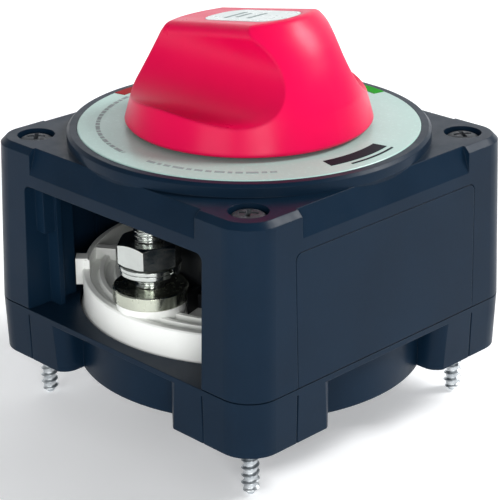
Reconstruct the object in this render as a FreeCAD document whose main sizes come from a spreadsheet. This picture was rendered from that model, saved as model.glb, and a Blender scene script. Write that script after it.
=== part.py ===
"""Marine battery switch: a square surface-mount housing with a red rotary knob.

Frame: +Z up, origin at the centre of the mounting plane (the underside of the corner feet).
The open cable entry faces -Y; the other three sides carry snap-in covers.
The knob is at OFF, its grip bar along X; a quarter turn clockwise from above is ON.
All sizes are millimetres and come from the Dimensions sheet.
"""
import FreeCAD, Part
import math
import os
import re
import Sketcher

doc = FreeCAD.newDocument("BatterySwitch")

# ---------------------------------------------------------------- driving dimensions
DIMENSIONS = [
    # case outline
    ("side_width", 100.0), ("deck_width", 97.6), ("foot_width", 99.3), ("corner_radius", 8.9),
    ("base_height", 14.8), ("deck_height", 60.0), ("post_width", 16.5), ("wall_thickness", 4.3),
    ("ceiling_height", 56.0), ("opening_top", 49.9), ("opening_corner", 2.0), ("edge_chamfer", 1.5),
    ("seam_gap", 0.3), ("seam_depth", 0.4),
    # sloped facet above each opening
    ("facet_length", 62.0), ("facet_bottom", 53.0), ("facet_inset", 2.4),
    # jambs behind the cover seats
    ("jamb_inner", 29.4), ("jamb_front", 42.2), ("jamb_back", 40.6), ("rib_inner", 30.2),
    ("rib_bottom", 36.2),
    # dial ring and dial
    ("ring_radius", 47.7), ("ring_top", 63.2), ("dial_seat", 62.4), ("dial_radius", 44.9),
    ("dial_top", 63.4),
    ("mark_thickness", 0.12), ("mark_outer", 44.6), ("mark_inner", 41.2), ("mark_span", 22.0),
    ("bar_mark_inner", 36.5), ("bar_mark_outer", 40.3), ("line_mark_inner", 41.6),
    ("line_mark_outer", 42.2),
    # base
    ("foot_length", 30.0), ("foot_rounding", 4.5), ("skirt_radius", 47.3), ("pocket_radius", 46.2),
    ("base_floor", 4.0), ("base_rim", 1.6), ("recess_inner", 14.0), ("recess_outer", 43.0),
    ("recess_depth", 1.6),
    # mounting screws
    ("screw_offset", 39.6), ("screw_radius", 2.4), ("screw_core", 1.75), ("screw_pitch", 2.1),
    ("screw_tip", 15.3), ("screw_head_radius", 4.65), ("screw_head_height", 2.5), ("screw_seat", 57.1),
    ("screw_hole", 2.6),
    # stud carrier
    ("carrier_bottom_radius", 46.0), ("carrier_rim_radius", 45.2), ("carrier_rim_top", 22.4),
    ("carrier_deck", 21.0), ("chamber_radius", 24.3), ("chamber_floor", 7.0), ("chamber_rim", 24.0),
    ("fence_outer", 44.6), ("fence_inner", 43.3), ("fence_top", 25.0), ("fence_span", 96.0),
    ("fence_foot_angle", 32.5),
    ("tab_radius", 47.1), ("tab_width", 4.0), ("tab_bottom", 17.8), ("tab_top", 25.3),
    # terminals
    ("stud_offset", 35.9), ("stud_radius", 4.0), ("stud_top", 47.0), ("stud_hole", 4.1),
    ("pad_bottom", 24.4), ("pad_top", 28.2), ("pad_radius", 9.8), ("pedestal_radius", 9.0),
    ("collar_bottom", 31.9), ("collar_top", 33.3), ("collar_radius", 7.9),
    ("spring_washer_top", 34.5), ("spring_washer_radius", 8.2),
    ("nut_top", 40.7), ("nut_flats", 14.8),
    # contacts
    ("bar_bottom", 12.0), ("bar_top", 16.0), ("bar_width", 16.0), ("bar_inner", 12.0), ("bar_outer", 42.3),
    ("contact_offset", 16.5), ("contact_radius", 4.2), ("contact_height", 1.2), ("contact_gap", 0.2),
    ("bridge_width", 12.0), ("bridge_length", 42.0), ("bridge_thickness", 3.5),
    # rotor and shaft
    ("shaft_radius", 6.0), ("bush_bore", 6.05), ("pivot_radius", 4.0), ("pivot_bore", 4.05),
    ("rotor_radius", 13.0), ("rotor_bottom", 25.0), ("rotor_top", 34.0), ("spring_pocket", 10.8),
    ("spring_mean", 8.2), ("spring_wire", 0.6), ("spring_turns", 3.5), ("leg_half", 5.0),
    ("cam_radius", 17.3), ("cam_top", 40.0), ("notch_depth", 1.2), ("notch_radius", 2.2),
    # contact cover
    ("drum_outer", 25.8), ("drum_inner", 22.3), ("drum_top", 46.5), ("drum_roof", 3.0),
    ("shaft_clearance", 6.5),
    ("fin_outer", 34.0), ("fin_top", 26.5), ("fin_width", 1.4),
    # bush and seal
    ("bush_radius", 10.0), ("bush_flange", 12.5), ("bush_bottom", 48.5), ("boss_radius", 13.0),
    ("boss_bottom", 50.0), ("seal_seat", 60.4), ("seal_pocket", 9.2), ("seal_centre", 61.9),
    ("seal_mean", 7.55), ("seal_section", 1.4),
    # knob
    ("knob_radius", 32.5), ("knob_bottom", 64.4), ("knob_waist_radius", 30.3), ("knob_waist", 73.0),
    ("knob_shoulder_radius", 24.9), ("knob_shoulder", 84.2), ("knob_apex_radius", 13.5),
    ("knob_apex", 96.8), ("flank_bulge", 60.0), ("crown_bulge", 40.0), ("crest_height", 91.7),
    ("crest_tilt", 8.98),
    ("lip_rounding", 2.5),
    ("scoop_radius", 12.3), ("scoop_offset", 23.6), ("scoop_height", 83.8),
    ("knob_cavity_radius", 29.0), ("knob_cavity_top", 68.9), ("hub_radius", 12.5),
    ("badge_length", 27.0), ("badge_width", 14.0), ("badge_shift", 1.5), ("badge_depth", 0.5),
    ("tenon_width", 8.0), ("tenon_bottom", 66.0), ("tenon_top", 82.0),
    # covers
    ("cover_gap", 0.15), ("cover_plate", 2.2), ("cover_rim", 1.7),
]

sheet = doc.addObject("Spreadsheet::Sheet", "Dimensions")
for row, (alias, value) in enumerate(DIMENSIONS, start=1):
    sheet.set(f"A{row}", alias)
    sheet.set(f"B{row}", str(value))
    sheet.setAlias(f"B{row}", alias)
doc.recompute()

ALIAS_PATTERN = re.compile(r"\b(" + "|".join(alias for alias, _ in DIMENSIONS) + r")\b")
XY, XZ = "XY_Plane", "XZ_Plane"
QUARTERS = (0, 90, 180, 270)
CORNERS = ((1, 1), (-1, 1), (-1, -1), (1, -1))
EVERYTHING = 300.0      # longer than the whole switch, for tools that cut right through


def size(alias):
    """The number in the sheet's cell of that alias."""
    return float(sheet.get(alias))


def bind(target, path, formula):
    """Binds a property of an object to a formula written with the sheet's aliases."""
    target.setExpression(path, ALIAS_PATTERN.sub(r"Dimensions.\1", str(formula)))


def place(target, x="0", y="0", z="0", turn=0.0):
    """Moves an object by formulas, and turns it about Z by a fixed angle in degrees."""
    axis = FreeCAD.Vector(0, 0, 1)
    target.Placement = FreeCAD.Placement(FreeCAD.Vector(), FreeCAD.Rotation(axis, turn))
    for name, formula in (("x", x), ("y", y), ("z", z)):
        bind(target, f"Placement.Base.{name}", formula)
    return target


# ---------------------------------------------------------------- primitives
def cylinder(name, radius, bottom, top, x="0", y="0"):
    """An upright cylinder between two heights."""
    shape = doc.addObject("Part::Cylinder", name)
    bind(shape, "Radius", radius)
    bind(shape, "Height", f"({top}) - ({bottom})")
    return place(shape, x, y, bottom)


def lying_cylinder(name, radius, length, y, z, tilt=0.0):
    """A cylinder along X, centred on x = 0, tilted about Y by a fixed angle in degrees."""
    shape = doc.addObject("Part::Cylinder", name)
    bind(shape, "Radius", radius)
    bind(shape, "Height", length)
    lean = math.radians(tilt)
    shape.Placement.Rotation = FreeCAD.Rotation(FreeCAD.Vector(0, 1, 0), 90 - tilt)
    bind(shape, "Placement.Base.x", f"-({length}) / 2 * {math.cos(lean)}")
    bind(shape, "Placement.Base.y", y)
    bind(shape, "Placement.Base.z", f"({z}) - ({length}) / 2 * {math.sin(lean)}")
    return shape


def box(name, x, y, z, turn=0):
    """A box between three pairs of limits, turned about the Z axis by whole quarter turns."""
    shape = doc.addObject("Part::Box", name)
    for side, (low, high) in (("Length", x), ("Width", y), ("Height", z)):
        bind(shape, side, f"({high}) - ({low})")
    low_x, low_y = f"({x[0]})", f"({y[0]})"
    moved = {0: (low_x, low_y), 90: (f"-{low_y}", low_x),
             180: (f"-{low_x}", f"-{low_y}"), 270: (low_y, f"-{low_x}")}[turn]
    return place(shape, moved[0], moved[1], z[0], turn)


def spoke(name, inner, outer, width, bottom, top, angle):
    """A radial bar about the Z axis at any angle in degrees."""
    shape = doc.addObject("Part::Box", name)
    bind(shape, "Length", f"({outer}) - ({inner})")
    bind(shape, "Width", width)
    bind(shape, "Height", f"({top}) - ({bottom})")
    cosine, sine = math.cos(math.radians(angle)), math.sin(math.radians(angle))
    x = f"({inner}) * {cosine} + ({width}) / 2 * {sine}"
    y = f"({inner}) * {sine} - ({width}) / 2 * {cosine}"
    return place(shape, x, y, bottom, angle)


def arc_wall(name, inner, outer, bottom, top, middle, span):
    """Part of a round wall about the Z axis, centred on an angle in degrees."""
    parts = []
    for suffix, radius in (("Outer", outer), ("Inner", inner)):
        part = cylinder(name + suffix, radius, bottom, top)
        bind(part, "Angle", span)
        place(part, "0", "0", bottom, middle - size_of(span) / 2)
        parts.append(part)
    return cut(name, parts[0], parts[1])


def size_of(span):
    """A span in degrees, given as a number or as an alias."""
    return size(span) if isinstance(span, str) else float(span)


# ---------------------------------------------------------------- booleans
def cut(name, base, tool):
    shape = doc.addObject("Part::Cut", name)
    shape.Base = base
    shape.Tool = tool
    return shape


def fuse(name, pieces):
    shape = doc.addObject("Part::MultiFuse", name)
    shape.Shapes = pieces
    shape.Refine = True
    return shape


def common(name, pieces):
    shape = doc.addObject("Part::MultiCommon", name)
    shape.Shapes = pieces
    return shape


def compound(name, pieces):
    """Separate identical solids that share one node."""
    shape = doc.addObject("Part::Compound", name)
    shape.Links = pieces
    return shape


# ---------------------------------------------------------------- sketches and bodies
def new_body(name):
    return doc.addObject("PartDesign::Body", name)


def new_sketch(body, name, plane, height=None):
    """A sketch on one of the body's own origin planes, at a height above it."""
    sketch = body.newObject("Sketcher::SketchObject", name)
    support = next(item for item in body.Origin.OriginFeatures if item.Role == plane)
    sketch.AttachmentSupport = (support, [""])
    sketch.MapMode = "FlatFace"
    if height is not None:
        bind(sketch, "AttachmentOffset.Base.z", height)
    return sketch


def polygon_sketch(body, name, plane, corners, bulges=None):
    """A closed outline whose corners are pairs of formulas, each bound to the sheet.

    bulges maps the index of a side to the radius of the arc that replaces it, bowing outward.
    """
    sketch = new_sketch(body, name, plane)
    points = [FreeCAD.Vector(number(x), number(y), 0) for x, y in corners]
    for index, start in enumerate(points):
        end = points[(index + 1) % len(points)]
        radius = (bulges or {}).get(index)
        if radius is None:
            sketch.addGeometry(Part.LineSegment(start, end), False)
        else:
            sketch.addGeometry(bowed_arc(start, end, number(radius)), False)
    for index, (x, y) in enumerate(corners):
        following = (index + 1) % len(corners)
        sketch.addConstraint(Sketcher.Constraint("Coincident", index, 2, following, 1))
        for kind, formula, axis in (("DistanceX", x, -2), ("DistanceY", y, -1)):
            if number(formula) == 0:
                sketch.addConstraint(Sketcher.Constraint("PointOnObject", index, 1, axis))
                continue
            place_at = sketch.addConstraint(
                Sketcher.Constraint(kind, -1, 1, index, 1, number(formula)))
            bind(sketch, f"Constraints[{place_at}]", formula)
    for index, radius in (bulges or {}).items():
        place_at = sketch.addConstraint(Sketcher.Constraint("Radius", index, number(radius)))
        bind(sketch, f"Constraints[{place_at}]", radius)
    return sketch


def bowed_arc(start, end, radius):
    """The short arc from start to end that bows to the right of its chord."""
    chord = end - start
    middle = (start + end) * 0.5
    outward = FreeCAD.Vector(chord.y, -chord.x, 0).normalize()
    rise = radius - math.sqrt(radius ** 2 - (chord.Length / 2) ** 2)
    return Part.Arc(start, middle + outward * rise, end)


def number(formula):
    """The value of a formula made of aliases, numbers and the signs + - * / ( )."""
    tokens = re.findall(r"[a-z_]+|[0-9.]+|[-+*/()]", str(formula))

    def factor():
        token = tokens.pop(0)
        if token == "-":
            return -factor()
        if token == "(":
            value = total()
            tokens.pop(0)
            return value
        return size(token) if token[0].isalpha() else float(token)

    def product():
        value = factor()
        while tokens and tokens[0] in "*/":
            if tokens.pop(0) == "*":
                value *= factor()
            else:
                value /= factor()
        return value

    def total():
        value = product()
        while tokens and tokens[0] in "+-":
            if tokens.pop(0) == "+":
                value += product()
            else:
                value -= product()
        return value

    return total()


def revolved(name, corners, bulges=None, x="0", y="0"):
    """A body turned about its own upright axis from an outline of (radius, height) corners."""
    body = new_body(name)
    sketch = polygon_sketch(body, name + "Profile", XZ, corners, bulges)
    turned = body.newObject("PartDesign::Revolution", name + "Turned")
    turned.Profile = sketch
    turned.ReferenceAxis = (sketch, ["V_Axis"])
    turned.Angle = 360
    return place(body, x, y)


def padded(name, corners, bottom, top, bulges=None):
    """A body padded upright between two heights from an outline of (x, y) corners."""
    body = new_body(name)
    sketch = polygon_sketch(body, name + "Outline", XY, corners, bulges)
    bind(sketch, "AttachmentOffset.Base.z", bottom)
    pad = body.newObject("PartDesign::Pad", name + "Pad")
    pad.Profile = sketch
    bind(pad, "Length", f"({top}) - ({bottom})")
    return body


def rounded_square_sketch(body, name, width, radius, height):
    """A square with rounded corners about the origin, at a height."""
    sketch = new_sketch(body, name, XY, height)
    half, round_ = number(width) / 2, number(radius)
    flat = half - round_
    for turn in range(4):
        spin = FreeCAD.Rotation(FreeCAD.Vector(0, 0, 1), 90 * turn)
        start = spin.multVec(FreeCAD.Vector(-flat, -half, 0))
        end = spin.multVec(FreeCAD.Vector(flat, -half, 0))
        centre = spin.multVec(FreeCAD.Vector(flat, -flat, 0))
        first = math.radians(-90 + 90 * turn)
        rounding = Part.Circle(centre, FreeCAD.Vector(0, 0, 1), round_)
        sketch.addGeometry(Part.LineSegment(start, end), False)
        sketch.addGeometry(Part.ArcOfCircle(rounding, first, first + math.pi / 2), False)
    for turn in range(4):
        side, arc, following = 2 * turn, 2 * turn + 1, (2 * turn + 2) % 8
        sketch.addConstraint(Sketcher.Constraint("Tangent", side, 2, arc, 1))
        sketch.addConstraint(Sketcher.Constraint("Tangent", arc, 2, following, 1))
        if turn:
            sketch.addConstraint(Sketcher.Constraint("Equal", 1, arc))
    sketch.addConstraint(Sketcher.Constraint("Horizontal", 0))
    sketch.addConstraint(Sketcher.Constraint("Symmetric", 1, 3, 5, 3, -1, 1))
    sketch.addConstraint(Sketcher.Constraint("Symmetric", 3, 3, 7, 3, -1, 1))
    for kind, first_arc, second_arc in (("DistanceX", 7, 1), ("DistanceY", 1, 3)):
        index = sketch.addConstraint(Sketcher.Constraint(kind, first_arc, 3, second_arc, 3, 2 * flat))
        bind(sketch, f"Constraints[{index}]", f"({width}) - 2 * ({radius})")
    index = sketch.addConstraint(Sketcher.Constraint("Radius", 1, round_))
    bind(sketch, f"Constraints[{index}]", radius)
    return sketch


def drafted_block(name, lower_width, lower_radius, bottom, upper_width, upper_radius, top):
    """A rounded square block that narrows with the mould's draft."""
    body = new_body(name)
    lower = rounded_square_sketch(body, name + "Lower", lower_width, lower_radius, bottom)
    upper = rounded_square_sketch(body, name + "Upper", upper_width, upper_radius, top)
    loft = body.newObject("PartDesign::AdditiveLoft", name + "Loft")
    loft.Profile = lower
    loft.Sections = [upper]
    return body


# ---------------------------------------------------------------- shared formulas
OPENING = "(side_width / 2 - post_width)"          # half width of a side opening
INSIDE = "(side_width / 2 - wall_thickness)"       # depth of a cover seat from the axis
COVER_PLANE = "(side_width / 2 - wall_thickness + 0.1)"
BRIDGE_BOTTOM = "(bar_top + 2 * contact_height + contact_gap)"
DIAGONAL = 45


def opening_panel(name, half_width, bottom, top, corner, near, far, turn):
    """The outline of a side opening, with its two upper corners rounded, as a solid through a wall."""
    body = new_body(name)
    corners = [(f"-({half_width})", bottom), (half_width, bottom), (half_width, f"({top}) - ({corner})"),
               (f"({half_width}) - ({corner})", top), (f"-({half_width}) + ({corner})", top),
               (f"-({half_width})", f"({top}) - ({corner})")]
    sketch = polygon_sketch(body, name + "Outline", XZ, corners, {2: corner, 4: corner})
    bind(sketch, "AttachmentOffset.Base.z", near)
    pad = body.newObject("PartDesign::Pad", name + "Pad")
    pad.Profile = sketch
    bind(pad, "Length", f"({far}) - ({near})")
    return place(body, turn=turn)


# ---------------------------------------------------------------- base
def make_base():
    """The moulded base: four corner feet, a round skirt between them and a pocket for the carrier."""
    outline = drafted_block("BaseOutline", "foot_width", "corner_radius", "0",
                            "side_width", "corner_radius", "base_height")
    feet = []
    for index, (sign_x, sign_y) in enumerate(CORNERS):
        block = new_body(f"FootBlock{index}")
        sketch = rounded_square_sketch(block, f"FootOutline{index}", "foot_length", "foot_rounding", "0")
        pad = block.newObject("PartDesign::Pad", f"FootPad{index}")
        pad.Profile = sketch
        bind(pad, "Length", "base_height")
        middle = "(side_width / 2 - foot_length / 2)"
        feet.append(place(block, f"{sign_x} * {middle}", f"{sign_y} * {middle}"))
    rim = box("BaseRim", ("-side_width", "side_width"), ("-side_width", "side_width"),
              ("base_height - base_rim", "base_height"))
    feet_and_rim = common("FeetAndRim", [outline, fuse("FeetBlocks", feet + [rim])])
    skirt = cylinder("Skirt", "skirt_radius", "0", "base_height")
    solid = fuse("BaseSolid", [feet_and_rim, skirt])
    pocket = cylinder("CarrierPocket", "pocket_radius", "base_floor", "base_height + 1")
    ring = cut("UnderRecess", cylinder("UnderRecessOuter", "recess_outer", "-1", "recess_depth"),
               cylinder("UnderRecessInner", "recess_inner", "-2", "recess_depth + 1"))
    ribs = [spoke(f"UnderRib{angle}", "recess_inner - 1", "recess_outer + 1", "2",
                  "-2", "recess_depth + 1", angle) for angle in range(0, 360, 45)]
    recess = cut("RibbedRecess", ring, fuse("UnderRibs", ribs))
    tools = [pocket, recess] + [
        cylinder(f"BaseScrewHole{i}", "screw_hole", "-1", "base_height + 1",
                 f"{sx} * screw_offset", f"{sy} * screw_offset")
        for i, (sx, sy) in enumerate(CORNERS)]
    groove_at = "(side_width / 2 - post_width)"
    for turn in QUARTERS:
        for sign in (-1, 1):
            tools.append(box(f"FootLine{turn}{'ab'[sign > 0]}",
                             (f"{sign} * {groove_at} - 0.25", f"{sign} * {groove_at} + 0.25"),
                             ("-side_width / 2 - 1", "-foot_width / 2 + 0.15"),
                             ("-1", "base_height - base_rim"), turn))
    return cut("Base", solid, fuse("BaseTools", tools))


# ---------------------------------------------------------------- housing
def facet_cutter(turn):
    """Takes the sloped facet off the beam above one side."""
    name = f"Facet{turn}"
    body = new_body(name)
    face = "(side_width / 2 - 1)"
    corners = [(face, "facet_bottom"), (f"{face} + 9", "facet_bottom"), (f"{face} + 9", "deck_height + 2"),
               (f"{face} - facet_inset", "deck_height + 2"), (f"{face} - facet_inset", "deck_height")]
    sketch = polygon_sketch(body, name + "Profile", XZ, corners)
    pad = body.newObject("PartDesign::Pad", name + "Pad")
    pad.Profile = sketch
    pad.Midplane = True
    bind(pad, "Length", "facet_length")
    return place(body, turn=turn)


def make_cavity():
    """Everything hollow inside the housing, with the cover seats, less the jambs that stay."""
    reach = f"({INSIDE})"
    long_way, short_way = (f"-{reach}", reach), (f"-{OPENING}", OPENING)
    heights = ("base_height - 1", "ceiling_height")
    rooms = [box("RoomAlongX", long_way, short_way, heights),
             box("RoomAlongY", short_way, long_way, heights)]
    seats = [opening_panel(f"Seat{turn}", OPENING, "base_height - 1", "opening_top", "opening_corner",
                           f"{INSIDE} - 0.5", "side_width", turn) for turn in QUARTERS]
    jambs = []
    for turn in QUARTERS:
        for sign in (-1, 1):
            tag = f"{turn}{'ab'[sign > 0]}"
            across = sorted_limits(sign, "jamb_inner", OPENING + " + 1")
            jambs.append(box("Jamb" + tag, across, ("-jamb_front", "-jamb_back"),
                             ("base_height - 2", "ceiling_height + 1"), turn))
            across = sorted_limits(sign, "rib_inner", OPENING + " + 1")
            jambs.append(box("JambRib" + tag, across, (f"-{reach}", "-jamb_front + 0.5"),
                             ("rib_bottom", "ceiling_height + 1"), turn))
    hollow = fuse("Rooms", rooms + seats)
    outer = cylinder("CeilingOuter", "recess_outer - 2", "ceiling_height - 1", "ceiling_height + 3")
    inner = cylinder("CeilingInner", "boss_radius", "ceiling_height - 2", "ceiling_height + 4")
    ceiling = cut("CeilingRecess", outer, inner)
    boss = cylinder("BushBoss", "boss_radius", "boss_bottom", "ceiling_height + 1")
    kept = fuse("KeptInside", jambs + [boss])
    return cut("Cavity", fuse("Hollow", [hollow, ceiling]), kept)


def sorted_limits(sign, inner, outer):
    """Limits across an opening on its left (-1) or right (1) side, lowest first."""
    return (inner, outer) if sign > 0 else (f"-({outer})", f"-({inner})")


def make_housing():
    """The square shell: corner posts, beams, deck, dial ring and the four bores for the screw heads."""
    outline = drafted_block("HousingOutline", "side_width", "corner_radius", "base_height + seam_gap",
                            "deck_width", "corner_radius", "deck_height - edge_chamfer")
    top_edge = drafted_block("HousingTopEdge", "deck_width", "corner_radius", "deck_height - edge_chamfer",
                             "deck_width - 2 * edge_chamfer", "corner_radius - edge_chamfer", "deck_height")
    tongue_size = ("side_width - 2 * seam_depth", "corner_radius - seam_depth")
    tongue = drafted_block("SeamTongue", *tongue_size, "base_height", *tongue_size, "base_height + 1")
    shaped = cut("FacetedOutline", fuse("OutlineWithTongue", [outline, top_edge, tongue]),
                 fuse("Facets", [facet_cutter(turn) for turn in QUARTERS]))
    ring = revolved("DialRing", [("0", "deck_height - 2"), ("ring_radius - 1", "deck_height - 2"),
                                 ("ring_radius", "deck_height"), ("ring_radius", "ring_top - 0.8"),
                                 ("ring_radius - 0.8", "ring_top"), ("0", "ring_top")])
    solid = fuse("HousingSolid", [shaped, ring])
    tools = [make_cavity(),
             cylinder("DialSeat", "dial_radius + 0.1", "dial_seat", "ring_top + 1"),
             cylinder("BushHole", "bush_radius", "boss_bottom - 1", "ring_top")]
    for index, (sign_x, sign_y) in enumerate(CORNERS):
        x, y = f"{sign_x} * screw_offset", f"{sign_y} * screw_offset"
        for kind, radius, bottom, top in (
                ("HeadBore", "screw_head_radius + 0.3", "screw_seat", "deck_height + 1"),
                ("Passage", "screw_hole", "base_height - 1", "deck_height")):
            tools.append(cylinder(f"Screw{kind}{index}", radius, bottom, top, x, y))
    return cut("Housing", solid, fuse("HousingTools", tools))


# ---------------------------------------------------------------- snap-in side covers
def make_side_cover(name, turn):
    """A snap-in cover flush with the drafted side, hollowed behind, with two snap tongues."""
    gap = "cover_gap"
    half = f"({OPENING} - {gap})"
    panel = opening_panel(name + "Panel", half, f"base_height + {gap}", f"opening_top - {gap}",
                          "opening_corner", COVER_PLANE, "side_width", turn)
    skin = drafted_block(name + "Skin", "side_width", "corner_radius", "base_height + seam_gap",
                         "deck_width", "corner_radius", "deck_height")
    plate = common(name + "Plate", [panel, skin])
    hollow = box(name + "Hollow", (f"-{half} + cover_rim", f"{half} - cover_rim"),
                 ("-deck_width / 2 + cover_plate - 0.4", f"-{INSIDE} + 1"),
                 ("base_height + cover_rim + 0.4", "opening_top - cover_rim - 0.2"), turn)
    ribs = [box(f"{name}Rib{i}", (f"{x} - 0.6", f"{x} + 0.6"), ("-deck_width / 2 + 1", f"-{COVER_PLANE}"),
                ("base_height + 1", "opening_top - 1"), turn) for i, x in enumerate((-15, 0, 15))]
    shell = cut(name + "Shell", plate, hollow)
    tongues = []
    for sign in (-1, 1):
        across = sorted_limits(sign, f"{half} - 2.4", half)
        depth, height = (f"-{INSIDE} - 1.5", "-jamb_front - 0.3"), ("base_height + 4", "rib_bottom - 0.4")
        tongues.append(box(f"{name}Tongue{'ab'[sign > 0]}", across, depth, height, turn))
    return fuse(name, [shell] + ribs + tongues)


# ---------------------------------------------------------------- stud carrier
def make_stud_carrier():
    """The white moulding that holds both terminals, turned and then fitted with its local features."""
    body = revolved("CarrierBody", [
        ("pivot_bore", "base_floor"), ("28", "base_floor"), ("28", "carrier_deck - 2.8"),
        ("43.4", "carrier_deck - 2.8"), ("43.4", "base_floor"), ("carrier_bottom_radius", "base_floor"),
        ("carrier_bottom_radius", "base_height - 1.8"), ("carrier_rim_radius", "base_height - 0.2"),
        ("carrier_rim_radius", "carrier_rim_top - 0.4"), ("carrier_rim_radius - 0.4", "carrier_rim_top"),
        ("43.3", "carrier_rim_top"), ("43.1", "carrier_deck"),
        ("41.1", "carrier_deck"), ("40.7", "carrier_rim_top"),
        ("39.5", "carrier_rim_top"), ("39.1", "carrier_deck"),
        ("36.9", "carrier_deck"), ("36.5", "carrier_rim_top"),
        ("35.3", "carrier_rim_top"), ("34.9", "carrier_deck"),
        ("26.5", "carrier_deck"), ("26.5", "chamber_rim"), ("chamber_radius", "chamber_rim"),
        ("chamber_radius", "chamber_floor"), ("pivot_bore", "chamber_floor")])
    extras = []
    for middle, tag in ((180, "Left"), (0, "Right")):
        extras.append(arc_wall("Fence" + tag, "fence_inner", "fence_outer", "carrier_deck - 1", "fence_top",
                               middle, "fence_span"))
        for sign in (-1, 1):
            angle = middle + sign * size("fence_foot_angle")
            extras.append(spoke(f"FenceFoot{tag}{'ab'[sign > 0]}", "37.5", "43.2", "2.6",
                                "carrier_deck - 1", "carrier_rim_top + 2", angle))
    extras += [spoke(f"Tab{turn}", "carrier_rim_radius - 1.5", "tab_radius", "tab_width",
                     "tab_bottom", "tab_top", turn + DIAGONAL) for turn in QUARTERS]
    for sign, tag in ((-1, "Front"), (1, "Rear")):
        round_part = cylinder("PedestalRound" + tag, "pedestal_radius", "bar_top", "pad_bottom",
                              "0", f"{sign} * stud_offset")
        limit = cylinder("PedestalLimit" + tag, "carrier_rim_radius - 0.1", "0", "pad_bottom + 1")
        extras.append(common("Pedestal" + tag, [round_part, limit]))
    tools = [cylinder(f"StudHole{tag}", "stud_hole", "bar_top - 1", "pad_bottom + 1",
                      "0", f"{sign} * stud_offset") for sign, tag in ((-1, "Front"), (1, "Rear"))]
    tools += [box("BarSlot" + tag, ("-bar_width / 2 - 0.2", "bar_width / 2 + 0.2"), limits,
                  ("bar_bottom - 0.1", "bar_top"))
              for tag, limits in (("Front", ("-30", "-20")), ("Rear", ("20", "30")))]
    tools += [cylinder("CoverScrewHole" + tag, "1.65", "carrier_deck - 3.5", "carrier_deck + 4",
                       f"{sign} * 30.5") for sign, tag in ((-1, "Left"), (1, "Right"))]
    return cut("StudCarrier", fuse("CarrierWithFeatures", [body] + extras), fuse("CarrierTools", tools))


# ---------------------------------------------------------------- terminals
def make_stud(name, sign):
    """A round-headed M8 stud that comes up through bar, carrier and pad."""
    return revolved(name, [("0", "bar_bottom - 5.4"), ("6.2", "bar_bottom - 5.4"), ("6.2", "bar_bottom"),
                           ("stud_radius", "bar_bottom"), ("stud_radius", "stud_top - 1"),
                           ("stud_radius - 1", "stud_top"), ("0", "stud_top")],
                    y=f"{sign} * stud_offset")


def washer(name, sign, inner, outer, bottom, top, edge):
    """A washer or pad on one terminal, its outer edges eased."""
    return revolved(name, [(inner, bottom), (f"{outer} - {edge}", bottom), (outer, f"{bottom} + {edge}"),
                           (outer, f"{top} - {edge}"), (f"{outer} - {edge}", top), (inner, top)],
                    y=f"{sign} * stud_offset")


def make_spring_washer(name, sign):
    """A split lock washer: a ring with one narrow slanted gap."""
    ring = washer(name + "Ring", sign, "stud_hole", "spring_washer_radius",
                  "collar_top", "spring_washer_top", "0.2")
    gap = doc.addObject("Part::Box", name + "Gap")
    bind(gap, "Length", "spring_washer_radius + 2")
    bind(gap, "Width", "1")
    bind(gap, "Height", "8")
    gap.Placement.Rotation = FreeCAD.Rotation(FreeCAD.Vector(1, 0, 0), 25)
    bind(gap, "Placement.Base.y", f"{sign} * stud_offset + 1")
    bind(gap, "Placement.Base.z", "collar_top - 3")
    return cut(name, ring, gap)


def make_nut(name, sign):
    """A hexagon nut, chamfered top and bottom where its corners meet the flats."""
    prism = doc.addObject("Part::Prism", name + "Hexagon")
    prism.Polygon = 6
    bind(prism, "Circumradius", "nut_flats / 2 / cos(30 deg)")
    bind(prism, "Height", "nut_top - spring_washer_top")
    place(prism, "0", f"{sign} * stud_offset", "spring_washer_top", 7)
    limit = revolved(name + "Limit", [
        ("stud_hole", "spring_washer_top"), ("nut_flats / 2 - 0.2", "spring_washer_top"),
        ("nut_flats / 2 + 2", "spring_washer_top + 1.1"), ("nut_flats / 2 + 2", "nut_top - 1.1"),
        ("nut_flats / 2 - 0.2", "nut_top"), ("stud_hole", "nut_top")], y=f"{sign} * stud_offset")
    return common(name, [prism, limit])


def make_contact_bar(name, sign):
    """A copper bar from under one stud to its fixed contact in the chamber."""
    near, far = ("bar_inner", "bar_outer") if sign > 0 else ("-bar_outer", "-bar_inner")
    blank = box(name + "Blank", ("-bar_width / 2", "bar_width / 2"), (near, far), ("bar_bottom", "bar_top"))
    hole = cylinder(name + "Hole", "stud_hole", "bar_bottom - 1", "bar_top + 1",
                    "0", f"{sign} * stud_offset")
    return cut(name, blank, hole)


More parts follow.
